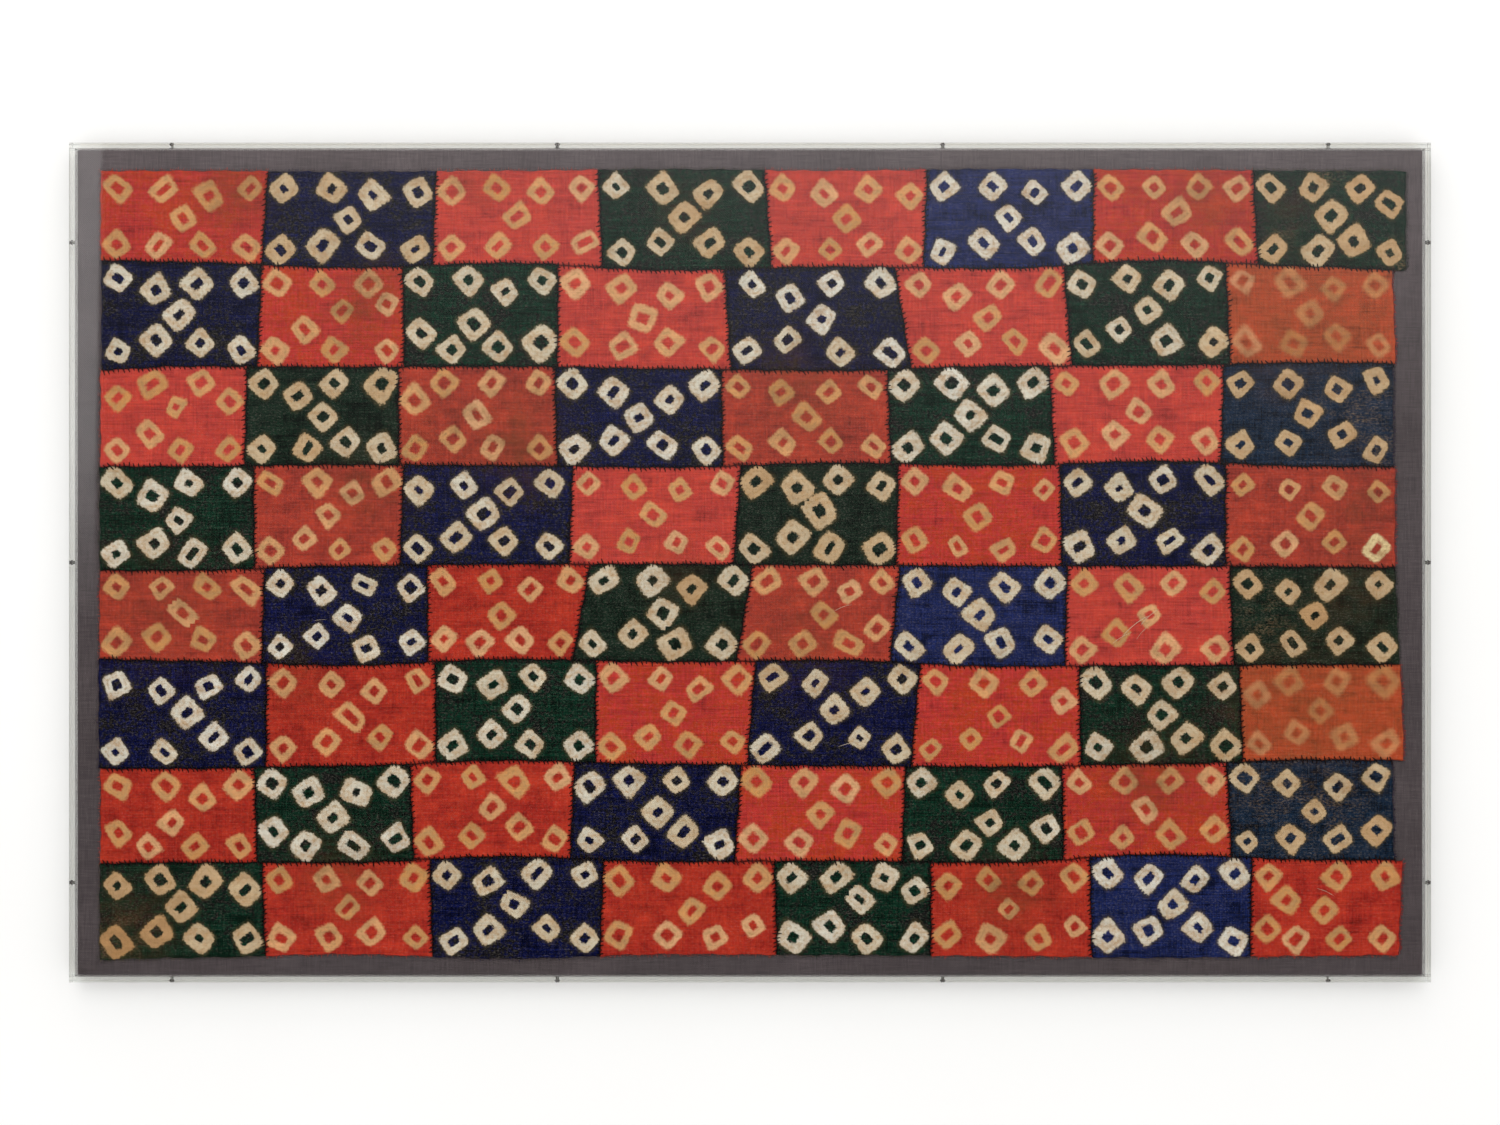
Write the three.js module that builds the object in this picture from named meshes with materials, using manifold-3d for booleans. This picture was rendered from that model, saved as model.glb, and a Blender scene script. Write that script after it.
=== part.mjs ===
// A patchwork textile panel in a clear box frame, lying on its back.
// Millimetres. X runs along the panel, Y towards its top edge, Z out of its face.
// The origin is under its middle.
import * as THREE from "three";
import { mergeVertices } from "three/addons/utils/BufferGeometryUtils.js";
import Module from "manifold-3d";

const wasm = await Module();
wasm.setup();

// Driving dimensions
const boxLength = 1500;
const boxHeight = 925;
const boxDepth = 45;
const sheetThickness = 6; // clear plastic, front and walls
const boardThickness = 18;
const mountThickness = 1;
const mountEndsAbove = 3; // the wrapped edge stops this far above the back
const clothThickness = 1.8;
const clothUnevenness = 0.5;
const gap = 0.3; // between pieces that touch
const mergeWithin = 0.001; // points this close are one

const screw = { headRadius: 2.8, headDepth: 1.7, shankRadius: 1.5, tipLength: 3, length: 25, height: 9 };
const screwFromCorner = { longSide: 110.5, shortSide: 108.5 };
const screwCount = { longSide: 4, shortSide: 3 };
const roundSides = 16;

// The patchwork's outline, from the middle of the box: one line for each row of patches, from the top down.
// The left and right edges run straight down a row, and step a little at the next one.
const clothRows = [
  { yLeft: 433, yRight: 433, left: -718, rightTop: 725, rightBottom: 725 },
  { yLeft: 334, yRight: 323, left: -717, rightTop: 710, rightBottom: 714 },
  { yLeft: 213, yRight: 220, left: -718, rightTop: 711, rightBottom: 711 },
  { yLeft: 106, yRight: 106, left: -719, rightTop: 713, rightBottom: 713 },
  { yLeft: -9, yRight: -6, left: -719, rightTop: 713, rightBottom: 718 },
  { yLeft: -107, yRight: -113, left: -720, rightTop: 719, rightBottom: 723 },
  { yLeft: -228, yRight: -219, left: -718, rightTop: 710, rightBottom: 712 },
  { yLeft: -333, yRight: -329, left: -719, rightTop: 721, rightBottom: 717 },
];
// How far the top and bottom edges stand from the middle, at the left end, mid patch and the right end.
const topEdge = [433, 433, 432, 433, 435, 433, 435, 434, 433, 433];
const bottomEdge = [-439, -437, -433, -438, -433, -434, -435, -437, -435, -434];
const edgeStep = 1.5; // how much height a step at a seam takes
const stationsInRow = 4;
const pointsAcross = 61;

const clear = new THREE.MeshStandardMaterial({
  color: 0xf2f4f0,
  roughness: 0.05,
  metalness: 0,
  transparent: true,
  opacity: 0.15,
});
const wood = new THREE.MeshStandardMaterial({ color: 0xcbb08a, roughness: 0.7, metalness: 0 });
const greyCloth = new THREE.MeshStandardMaterial({ color: 0x5a5356, roughness: 0.95, metalness: 0 });
const redCloth = new THREE.MeshStandardMaterial({ color: 0xc23b2b, roughness: 0.95, metalness: 0 });
const steel = new THREE.MeshStandardMaterial({ color: 0x8a8a88, roughness: 0.35, metalness: 1 });

function solidOf(geometry) {
  const bare = geometry.clone();
  bare.deleteAttribute("normal");
  bare.deleteAttribute("uv");
  const merged = mergeVertices(bare, mergeWithin);
  return new wasm.Manifold(
    new wasm.Mesh({
      numProp: 3,
      vertProperties: merged.attributes.position.array,
      triVerts: new Uint32Array(merged.index.array),
    }),
  );
}

function geometryOf(solid) {
  const mesh = solid.getMesh();
  const geometry = new THREE.BufferGeometry();
  geometry.setAttribute("position", new THREE.BufferAttribute(new Float32Array(mesh.vertProperties), 3));
  geometry.setIndex(new THREE.BufferAttribute(new Uint32Array(mesh.triVerts), 1));
  geometry.computeVertexNormals();
  return geometry;
}

// A box from its middle in X and Y and its lowest and highest Z.
function block(length, width, low, high, x = 0, y = 0) {
  return new THREE.BoxGeometry(length, width, high - low).translate(x, y, (low + high) / 2);
}

// A countersunk screw on the Z axis, its head's face at 0 and its point below.
// Grown by a gap, it is the hole that the screw stands in, cut on past the outer face.
function screwGeometry(grow) {
  const { headRadius, headDepth, shankRadius, tipLength, length } = screw;
  const shank = shankRadius + grow;
  const head = headRadius + grow;
  const profile = [[0, -length - grow], [shank, -length + tipLength], [shank, -headDepth], [head, 0]];
  if (grow > 0) profile.push([head, grow]);
  profile.push([0, grow]);
  const points = profile.map(([x, y]) => new THREE.Vector2(x, y));
  return new THREE.LatheGeometry(points, roundSides).rotateX(Math.PI / 2);
}

// Evenly spaced places along a side, the first and last this far from its ends.
function spread(count, length, fromCorner) {
  const step = (length - 2 * fromCorner) / (count - 1);
  return Array.from({ length: count }, (_, i) => -length / 2 + fromCorner + step * i);
}

// Where each screw stands, and which way its head faces.
function screwPlaces() {
  const found = [];
  const along = spread(screwCount.longSide, boxLength, screwFromCorner.longSide);
  const down = spread(screwCount.shortSide, boxHeight, screwFromCorner.shortSide).reverse();
  along.forEach((x, i) => {
    found.push({ name: `screw_top_${i + 1}`, x, y: boxHeight / 2, facing: Math.PI / 2 });
    found.push({ name: `screw_bottom_${i + 1}`, x, y: -boxHeight / 2, facing: -Math.PI / 2 });
  });
  down.forEach((y, i) => {
    found.push({ name: `screw_left_${i + 1}`, x: -boxLength / 2, y, facing: Math.PI });
    found.push({ name: `screw_right_${i + 1}`, x: boxLength / 2, y, facing: 0 });
  });
  return found;
}

// Turns the screw's head from +Z to the way its place faces.
function putScrew(object, place) {
  object.position.set(place.x, place.y, screw.height);
  object.rotation.set(0, Math.PI / 2, 0);
  object.rotation.reorder("ZYX");
  object.rotation.z = place.facing;
  object.updateMatrix();
  return object;
}

const places = screwPlaces();
const screwHoles = places
  .map((place) => solidOf(screwGeometry(gap).applyMatrix4(putScrew(new THREE.Object3D(), place).matrix)))
  .reduce((all, hole) => all.add(hole));

function bored(solid) {
  return geometryOf(solid.subtract(screwHoles));
}

// The clear box: a front sheet on four walls, the short walls standing between the long ones.
function clearBox() {
  const group = new THREE.Group();
  const wallTop = boxDepth - sheetThickness - gap;
  const endLength = boxHeight - 2 * sheetThickness - 2 * gap;
  const sideY = (boxHeight - sheetThickness) / 2;
  const sideX = (boxLength - sheetThickness) / 2;
  group.add(piece("front_sheet", block(boxLength, boxHeight, boxDepth - sheetThickness, boxDepth), clear));
  const walls = {
    wall_top: block(boxLength, sheetThickness, 0, wallTop, 0, sideY),
    wall_bottom: block(boxLength, sheetThickness, 0, wallTop, 0, -sideY),
    wall_left: block(sheetThickness, endLength, 0, wallTop, -sideX, 0),
    wall_right: block(sheetThickness, endLength, 0, wallTop, sideX, 0),
  };
  for (const [name, wall] of Object.entries(walls)) group.add(piece(name, bored(solidOf(wall)), clear));
  return group;
}

// The backing board and the grey cloth drawn over its face and down its edges.
function backing() {
  const group = new THREE.Group();
  const mountLength = boxLength - 2 * (sheetThickness + gap);
  const mountHeight = boxHeight - 2 * (sheetThickness + gap);
  const inset = 2 * (mountThickness + gap);
  const board = block(mountLength - inset, mountHeight - inset, 0, boardThickness);
  const mountTop = boardThickness + gap + mountThickness;
  const outer = solidOf(block(mountLength, mountHeight, mountEndsAbove, mountTop));
  const insideLength = mountLength - 2 * mountThickness;
  const insideHeight = mountHeight - 2 * mountThickness;
  // cut on past the open back
  const inner = solidOf(block(insideLength, insideHeight, 0, mountTop - mountThickness));
  group.add(piece("backing_board", bored(solidOf(board)), wood));
  group.add(piece("mount_cloth", bored(outer.subtract(inner)), greyCloth));
  return group;
}

// The height of a long edge at a place along it, eased between the stations of its table.
function edgeAt(table, across) {
  const last = table.length - 1;
  const patchCount = last - 1;
  // the ends stand at 0 and 1, and the others at the middle of each patch
  const station = THREE.MathUtils.clamp(across * patchCount + 0.5, 0, last);
  const start = Math.min(Math.floor(station), last - 1);
  const first = start === 0 ? 0.5 : 0;
  const span = start === 0 || start === last - 1 ? 0.5 : 1;
  const share = THREE.MathUtils.smoothstep((station - start - first) / span, 0, 1);
  return THREE.MathUtils.lerp(table[start], table[start + 1], share);
}

// Lines across the cloth, from the top down: the ends of each line, and how far down the cloth it lies.
function clothLines() {
  const lines = [];
  const bottom = { yLeft: bottomEdge[0], yRight: bottomEdge.at(-1) };
  clothRows.forEach((row, i) => {
    const next = clothRows[i + 1] ?? bottom;
    for (let k = 0; k < stationsInRow; k++) {
      const share = k / (stationsInRow - 1);
      const atTop = i === 0 && k === 0;
      const atBottom = i === clothRows.length - 1 && k === stationsInRow - 1;
      const shift = atTop || atBottom ? 0 : (0.5 - share) * edgeStep; // keeps the step at a seam open
      lines.push({
        left: row.left,
        right: THREE.MathUtils.lerp(row.rightTop, row.rightBottom, share),
        yLeft: THREE.MathUtils.lerp(row.yLeft, next.yLeft, share) - shift,
        yRight: THREE.MathUtils.lerp(row.yRight, next.yRight, share) - shift,
      });
    }
  });
  return lines;
}

// How much the face rises and falls, worked out from long soft waves that cross.
function unevenness(x, y) {
  const along = Math.sin(x / 97 + Math.sin(y / 140));
  const down = Math.sin(y / 61 + 1.3 * Math.sin(x / 210));
  return clothUnevenness * along * down;
}

// The patchwork as one sheet: a gridded, uneven face over a flat underside with the same outline.
function patchwork() {
  const lines = clothLines();
  const topOf = lines[0];
  const bottomOf = lines.at(-1);
  const positions = [];
  lines.forEach((line) => {
    for (let i = 0; i < pointsAcross; i++) {
      const across = i / (pointsAcross - 1);
      const x = THREE.MathUtils.lerp(line.left, line.right, across);
      const straight = THREE.MathUtils.lerp(line.yLeft, line.yRight, across);
      const down = (topOf.yLeft - line.yLeft) / (topOf.yLeft - bottomOf.yLeft);
      const topChord = THREE.MathUtils.lerp(topOf.yLeft, topOf.yRight, across);
      const bottomChord = THREE.MathUtils.lerp(bottomOf.yLeft, bottomOf.yRight, across);
      const topWave = edgeAt(topEdge, across) - topChord;
      const bottomWave = edgeAt(bottomEdge, across) - bottomChord;
      const y = straight + THREE.MathUtils.lerp(topWave, bottomWave, down);
      positions.push(x, y, clothThickness + unevenness(x, y));
    }
  });
  const at = (line, i) => line * pointsAcross + i;
  const faces = [];
  for (let line = 0; line < lines.length - 1; line++) {
    for (let i = 0; i < pointsAcross - 1; i++) {
      faces.push(at(line, i), at(line + 1, i), at(line + 1, i + 1));
      faces.push(at(line, i), at(line + 1, i + 1), at(line, i + 1));
    }
  }
  const rim = clothRim(lines.length, at);
  const firstUnder = positions.length / 3;
  rim.forEach((index) => positions.push(positions[index * 3], positions[index * 3 + 1], 0));
  rim.forEach((index, i) => {
    const j = (i + 1) % rim.length;
    faces.push(index, firstUnder + i, firstUnder + j);
    faces.push(index, firstUnder + j, rim[j]);
  });
  const outline = rim.map((index) => new THREE.Vector2(positions[index * 3], positions[index * 3 + 1]));
  for (const [a, b, c] of THREE.ShapeUtils.triangulateShape(outline, [])) {
    faces.push(firstUnder + a, firstUnder + c, firstUnder + b);
  }
  const geometry = new THREE.BufferGeometry();
  geometry.setAttribute("position", new THREE.Float32BufferAttribute(positions, 3));
  geometry.setIndex(faces);
  geometry.computeVertexNormals();
  return geometry;
}

// The face's outer points, anticlockwise from its top left corner.
function clothRim(lineCount, at) {
  const lastLine = lineCount - 1;
  const lastPoint = pointsAcross - 1;
  const rim = [];
  for (let line = 0; line < lastLine; line++) rim.push(at(line, 0));
  for (let i = 0; i < lastPoint; i++) rim.push(at(lastLine, i));
  for (let line = lastLine; line > 0; line--) rim.push(at(line, lastPoint));
  for (let i = lastPoint; i > 0; i--) rim.push(at(0, i));
  return rim;
}

function piece(name, geometry, material) {
  const mesh = new THREE.Mesh(geometry, material);
  mesh.name = name;
  return mesh;
}

const panel = new THREE.Group();
panel.add(backing());
const cloth = piece("patchwork_cloth", patchwork(), redCloth);
cloth.position.z = boardThickness + mountThickness + 2 * gap;
panel.add(cloth);
panel.add(clearBox());
for (const place of places) panel.add(putScrew(piece(place.name, screwGeometry(0), steel), place));

export default panel;
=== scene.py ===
import functools
import itertools
import math
import random

import bmesh
import bpy
import numpy as np
from mathutils import Matrix, Vector


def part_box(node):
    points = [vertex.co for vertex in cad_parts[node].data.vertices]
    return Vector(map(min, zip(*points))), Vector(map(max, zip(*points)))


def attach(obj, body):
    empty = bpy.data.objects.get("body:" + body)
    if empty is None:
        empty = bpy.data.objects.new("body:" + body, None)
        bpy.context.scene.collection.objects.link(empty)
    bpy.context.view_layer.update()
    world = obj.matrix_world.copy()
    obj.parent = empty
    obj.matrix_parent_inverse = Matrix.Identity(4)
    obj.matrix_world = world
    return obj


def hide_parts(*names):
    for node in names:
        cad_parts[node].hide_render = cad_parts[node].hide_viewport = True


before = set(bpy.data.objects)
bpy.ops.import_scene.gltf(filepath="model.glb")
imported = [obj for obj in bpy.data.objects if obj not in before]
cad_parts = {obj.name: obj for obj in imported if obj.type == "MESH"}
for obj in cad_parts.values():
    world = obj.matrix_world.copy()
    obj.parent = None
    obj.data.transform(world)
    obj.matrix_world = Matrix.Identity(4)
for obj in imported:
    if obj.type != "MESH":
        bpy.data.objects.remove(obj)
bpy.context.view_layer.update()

mm = 0.001
mergeWithin = 0.001      # points this close are one, in millimetres
print("frame:", len(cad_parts), "nodes")


def nodeBox(node):
    low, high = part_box(node)
    return Vector(low), Vector(high)


# Camera: the photo is square on to the panel, so it hangs high above it and looks straight down.
photo = {
    "widthPx": 1500,
    "boxLeftPx": 68.5,
    "boxRightPx": 1430.5,
    "cameraAbove": 5.4,
}


def makeCamera():
    low, high = nodeBox("front_sheet")
    viewWidth = (high.x - low.x) * photo["widthPx"] / (photo["boxRightPx"] - photo["boxLeftPx"])
    data = bpy.data.cameras.new("camera")
    data.sensor_width = 36
    data.lens = data.sensor_width * photo["cameraAbove"] / viewWidth
    camera = bpy.data.objects.new("camera", data)
    camera.location = (0, 0, high.z + photo["cameraAbove"])
    bpy.context.scene.collection.objects.link(camera)
    bpy.context.scene.camera = camera


makeCamera()


# Helpers for nodes, colours and meshes
def linearColour(hexCode):
    channels = [int(hexCode[i:i + 2], 16) / 255 for i in (1, 3, 5)]
    return (*[c / 12.92 if c <= 0.04045 else ((c + 0.055) / 1.055) ** 2.4 for c in channels], 1)


fromSpan, toSpan = ("From Min", "From Max"), ("To Min", "To Max")


def addNode(tree, kind, inputs=(), **settings):
    # Inputs go by order or by name, and a span names two at once. Each is a plain value, a hex colour,
    # a socket, or a node that gives its first live output.
    made = tree.nodes.new("ShaderNode" + kind)
    for name, value in settings.items():
        setattr(made, name, value)
    for keys, values in inputs.items() if isinstance(inputs, dict) else enumerate(inputs):
        for key, value in zip(keys, values) if isinstance(keys, tuple) else [(keys, values)]:
            if isinstance(value, str):
                value = linearColour(value)
            if isinstance(value, bpy.types.Node):
                value = next(output for output in value.outputs if output.enabled)
            if isinstance(value, bpy.types.NodeSocket):
                tree.links.new(value, made.inputs[key])
            else:
                made.inputs[key].default_value = value
    return made


def emptyTree(owner):
    # clears a material's or the world's nodes and gives the function that adds new ones there
    owner.use_nodes = True
    owner.node_tree.nodes.clear()
    return functools.partial(addNode, owner.node_tree)


def newMaterial(name):
    # a material, the function that adds its nodes, and a point's place in the panel's own metres
    material = bpy.data.materials.new(name)
    add = emptyTree(material)
    return material, add, add("TexCoord").outputs["Object"]


def meshFrom(bm, name):
    mesh = bpy.data.meshes.new(name)
    bm.to_mesh(mesh)
    bm.free()
    return mesh


def showPiece(name, mesh, material, node):
    piece = bpy.data.objects.new(name, mesh)
    bpy.context.scene.collection.objects.link(piece)
    mesh.materials.clear()
    mesh.materials.append(material)
    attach(piece, "root")
    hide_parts(node)
    return piece


def blend(first, second, share):
    return tuple(a + share * (b - a) for a, b in zip(first, second))


# Studio: pale floor and surroundings, a dark flag overhead so that the clear sheet mirrors little,
# and a softbox beyond the panel's top edge that doesn't show in it.
studio = {
    "floorSide": 14.0,
    "floorBelow": 0.2,            # millimetres under the panel's back
    "floorClouding": 3.0,
    "floorColour": "#F8F7F5",
    "floorSecond": "#FCFBFA",
    "worldStrength": 1.1,
    "mirroredSky": 0.22,          # how bright the sheet mirrors the surroundings above the horizon
    "horizon": (0.04, 0.18),      # the steepness over which they dim to that
    "flagCosine": 0.93,           # the flag reaches about 21 degrees from straight up
    "veilFromLeft": 27,           # millimetres at the left that mirror a pale strip beside the flag
    "veilPastEdge": 30,
    "veilLean": 0.020,
    "veilSoftness": 1.6,
    "veilFades": (150, -60),      # millimetres above the panel's middle, where it starts to fade and ends
    "flagPale": 0.44,             # what the sheet mirrors at the panel's top edge
    "flagRise": 3.0,              # how fast that comes, from none at the bottom edge
    "flagLeft": 0.3,              # the share of it at the left edge
    "softboxPower": 42.0,
    "softboxSide": 2.6,
    "softboxPlace": (-0.4, 3.2, 2.4),
}


def makeStudio():
    s = studio
    bm = bmesh.new()
    bmesh.ops.create_grid(bm, x_segments=1, y_segments=1, size=s["floorSide"] / 2,
                          matrix=Matrix.Translation((0, 0, -s["floorBelow"] * mm)))
    # matt paper, so almost flat white with faint clouding
    material, add, place = newMaterial("matt studio paper")
    cloudy = add("TexNoise", {"Vector": place, "Scale": s["floorClouding"]})
    tint = add("Mix", {0: cloudy, 6: s["floorColour"], 7: s["floorSecond"]}, data_type="RGBA")
    shader = add("BsdfPrincipled", {"Base Color": tint, "Roughness": 0.9})
    add("OutputMaterial", {"Surface": shader})
    floor = bpy.data.objects.new("floor", meshFrom(bm, "floor"))
    floor.data.materials.append(material)
    bpy.context.scene.collection.objects.link(floor)

    world = bpy.data.worlds.new("studio")
    bpy.context.scene.world = world
    add = emptyTree(world)
    direction = add("SeparateXYZ", [add("TexCoord").outputs["Generated"]])
    slopes = [add("Math", [direction.outputs[axis], direction.outputs["Z"]], operation="DIVIDE")
              for axis in ("X", "Y")]
    # the camera sees the sky mirrored at a point of the sheet under that point's slope from straight up
    corner = nodeBox("front_sheet")[1] / photo["cameraAbove"]
    veilEdge = -corner.x + s["veilFromLeft"] * mm / photo["cameraAbove"]
    veilSoft = s["veilSoftness"] * mm / photo["cameraAbove"]
    leaned = add("Math", [slopes[1], -s["veilLean"], slopes[0]], operation="MULTIPLY_ADD")
    rightOfEdge = add("MapRange", {"Value": leaned, fromSpan: (veilEdge - veilSoft, veilEdge + veilSoft)})
    fadeStart, fadeEnd = (height * mm / photo["cameraAbove"] for height in s["veilFades"])
    belowVeil = add("MapRange", {"Value": slopes[1], fromSpan: (fadeStart, fadeEnd)})
    veilEnd = -corner.x - s["veilPastEdge"] * mm / photo["cameraAbove"]
    pastVeil = add("Math", [slopes[0], veilEnd], operation="LESS_THAN")
    clearOfVeil = add("Math", [rightOfEdge, belowVeil], operation="MAXIMUM")
    clearOfVeil = add("Math", [clearOfVeil, pastVeil], operation="MAXIMUM")
    overhead = add("Math", [direction.outputs["Z"], s["flagCosine"]], operation="GREATER_THAN")
    rise = add("MapRange", {"Value": slopes[1], fromSpan: (-corner.y, corner.y)})
    rise = add("Math", [rise, s["flagRise"]], operation="POWER")
    sideways = add("MapRange", {"Value": slopes[0], fromSpan: (-corner.x, 0.0),
                                toSpan: (s["flagLeft"] * s["flagPale"], s["flagPale"])})
    flagLight = add("Math", [rise, sideways], operation="MULTIPLY")
    sky = add("MapRange", {"Value": direction.outputs["Z"], fromSpan: s["horizon"],
                           toSpan: (s["worldStrength"], s["mirroredSky"])})
    mirrored = add("LightPath").outputs["Is Glossy Ray"]
    sky = add("Mix", {0: mirrored, 2: s["worldStrength"], 3: sky})
    above = add("Mix", {0: clearOfVeil, 2: s["worldStrength"], 3: flagLight})
    strength = add("Mix", {0: overhead, 2: sky, 3: above})
    light = add("Background", {"Color": (1, 1, 1, 1), "Strength": strength})
    add("OutputWorld", {"Surface": light})

    softbox = bpy.data.lights.new("softbox", "AREA")
    softbox.energy = s["softboxPower"]
    softbox.shape = "SQUARE"
    softbox.size = s["softboxSide"]
    lamp = bpy.data.objects.new("softbox", softbox)
    lamp.location = s["softboxPlace"]
    lamp.rotation_euler = (-Vector(s["softboxPlace"])).to_track_quat("-Z", "Y").to_euler()
    lamp.visible_glossy = False
    lamp.visible_transmission = False
    bpy.context.scene.collection.objects.link(lamp)
    bpy.context.scene.view_settings.view_transform = "Standard"
    print("studio made")


makeStudio()


# The patchwork's seams, in millimetres from the middle of the box.
# Each row of patches: where its two outer edges and seven seams stand, at the row's top and at its bottom.
seamColumns = [
    {"top": [-718, -533, -347, -168, 16, 196, 380, 556, 725],
     "bottom": [-718, -540, -351, -163, 24, 192, 379, 562, 725]},
    {"top": [-717, -540, -384, -212, -28, 160, 347, 526, 710],
     "bottom": [-717, -545, -382, -213, -21, 178, 356, 531, 714]},
    {"top": [-718, -556, -389, -216, -32, 152, 331, 524, 711],
     "bottom": [-718, -559, -388, -213, -30, 156, 337, 521, 711]},
    {"top": [-719, -549, -383, -196, -10, 164, 343, 526, 713],
     "bottom": [-719, -548, -387, -200, -18, 162, 345, 526, 713]},
    {"top": [-719, -537, -357, -177, 3, 166, 351, 530, 713],
     "bottom": [-719, -540, -356, -196, -15, 155, 348, 535, 718]},
    {"top": [-720, -535, -348, -170, 6, 188, 364, 541, 719],
     "bottom": [-720, -535, -347, -171, -3, 178, 366, 545, 723]},
    {"top": [-718, -548, -376, -194, -10, 172, 345, 527, 710],
     "bottom": [-718, -545, -372, -199, -17, 168, 347, 533, 712]},
    {"top": [-719, -540, -354, -162, 27, 200, 376, 555, 721],
     "bottom": [-719, -536, -351, -166, 30, 200, 378, 553, 717]},
]
# The cloth's top edge, the seams between its rows and its bottom edge: left end, mid patches, right end.
lineStations = [-718, -628, -448, -268, -88, 92, 272, 452, 632, 718]
seamLines = [
    [433, 433, 432, 433, 435, 433, 435, 434, 433, 433],
    [334, 332, 326, 331, 323, 327, 325, 334, 327, 323],
    [213, 217, 216, 217, 214, 212, 217, 218, 221, 220],
    [106, 106, 108, 107, 105, 110, 107, 112, 106, 106],
    [-9, -9, -4, -2, -2, -3, -4, -4, -5, -6],
    [-107, -109, -114, -107, -110, -108, -115, -114, -113, -113],
    [-228, -228, -225, -219, -223, -225, -226, -223, -218, -219],
    [-333, -332, -332, -325, -331, -330, -332, -323, -329, -329],
    [-439, -437, -433, -438, -433, -434, -435, -437, -435, -434],
]
rowCount = len(seamColumns)
patchCount = len(seamColumns[0]["top"]) - 1

cloth = {
    "thickness": 0.9,
    "aboveMount": 2.1,        # the face's middle height over the mount cloth
    "unevenness": 0.5,
    "waveLengths": (97, 140, 61, 210),    # how the cloth's soft waves run along and up it, and bend
    "waveBend": 1.3,
    "cellsAcross": 56,
    "cellsDown": 36,
    "edgeCrowding": 0.6,      # draws the grid's lines towards the seams
    "seamWobble": 0.5,
    "lineWaves": [(7.3, 1.0, 1.0), (2.9, 0.7, 2.1)],    # length, height, and turn from one seam to the next
    "seamWaves": [(15, 1.0, 1), (37, 0.7, 2)],          # radians down a patch, height and turn
    "rowTurn": 1.7,
    "seamTurn": 0.9,
    "seamDip": 0.5,
    "seamDipWidth": 1.6,
    # how wide the painted shadow along a seam is
    "seamShadeWidth": 1.1,
    "rollHeight": 0.35,       # the turned edge stands up beside a seam
    "rollFromSeam": 3.4,
    "rollWidth": 1.8,
    "pucker": 0.22,
    "puckerPitch": 8.8,
    "puckerReach": 7.0,
}
clothLie = nodeBox("mount_cloth")[1].z / mm + cloth["aboveMount"]


def lineY(line, x):
    stations = np.array(lineStations, float)
    heights = np.array(seamLines[line], float)
    start = np.clip(np.searchsorted(stations, x) - 1, 0, len(stations) - 2)
    share = np.clip((x - stations[start]) / (stations[start + 1] - stations[start]), 0, 1)
    share = share * share * (3 - 2 * share)
    wobble = sum(height * np.sin(x / length + turn * line) for length, height, turn in cloth["lineWaves"])
    return heights[start] + share * (heights[start + 1] - heights[start]) + cloth["seamWobble"] * wobble


def seamX(row, seam, down):
    table = seamColumns[row]
    phase = cloth["rowTurn"] * row + cloth["seamTurn"] * seam
    wobble = sum(height * np.sin(down * count + turn * phase) for count, height, turn in cloth["seamWaves"])
    straight = table["top"][seam] + down * (table["bottom"][seam] - table["top"][seam])
    return straight + cloth["seamWobble"] * wobble


def patchPoint(row, patch, across, down):
    # across and down run from 0 to 1 over the patch
    left = seamX(row, patch, down)
    x = left + across * (seamX(row, patch + 1, down) - left)
    top = lineY(row, x)
    return x, top + down * (lineY(row + 1, x) - top)


def clothTop(x, y):
    c = cloth
    alongX, bendY, alongY, bendX = c["waveLengths"]
    wave = np.sin(x / alongX + np.sin(y / bendY)) * np.sin(y / alongY + c["waveBend"] * np.sin(x / bendX))
    return clothLie + c["unevenness"] * wave


# Dyes: the ground of a patch and the second tone that it drifts to.
dyes = {
    "red": {"ground": "#CB3A37", "drift": "#AF381E"},
    "navy": {"ground": "#06104A", "drift": "#110F12"},
    "green": {"ground": "#053826", "drift": "#0F100F"},
}
patchBrightness = (0.88, 1.12)
# Patches that differ from the rest of their dye, as row and place in the row, counted from 1.
looks = {
    "rosy": {"tone": "#CF4A42", "share": 0.7,
             "patches": [(1, 3), (1, 5), (2, 4), (2, 6), (3, 1), (3, 7), (4, 4), (5, 7)]},
    "deep": {"tone": "#B0281A", "share": 0.75,
             "patches": [(5, 3), (6, 2), (7, 1), (7, 3), (8, 2), (8, 4), (8, 6), (8, 8)]},
    "dulled": {"tone": "#9C3F30", "share": 0.7,
               "patches": [(3, 3), (3, 5), (4, 2), (4, 8), (5, 1), (5, 5)]},
    "run": {"tone": "#B8562F", "share": 0.9, "blur": 0.24, "ringStrength": 0.62,
            "patches": [(2, 8), (6, 8)]},
    "pale navy": {"tone": "#22316A", "share": 0.6, "patches": [(1, 6), (5, 6), (8, 7)]},
    "greenish navy": {"tone": "#16303E", "share": 0.7, "patches": [(7, 8), (3, 8)]},
    "blackened": {"tone": "#15180F", "share": 0.6, "patches": [(3, 2), (4, 5), (5, 4), (5, 8)]},
}
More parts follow.
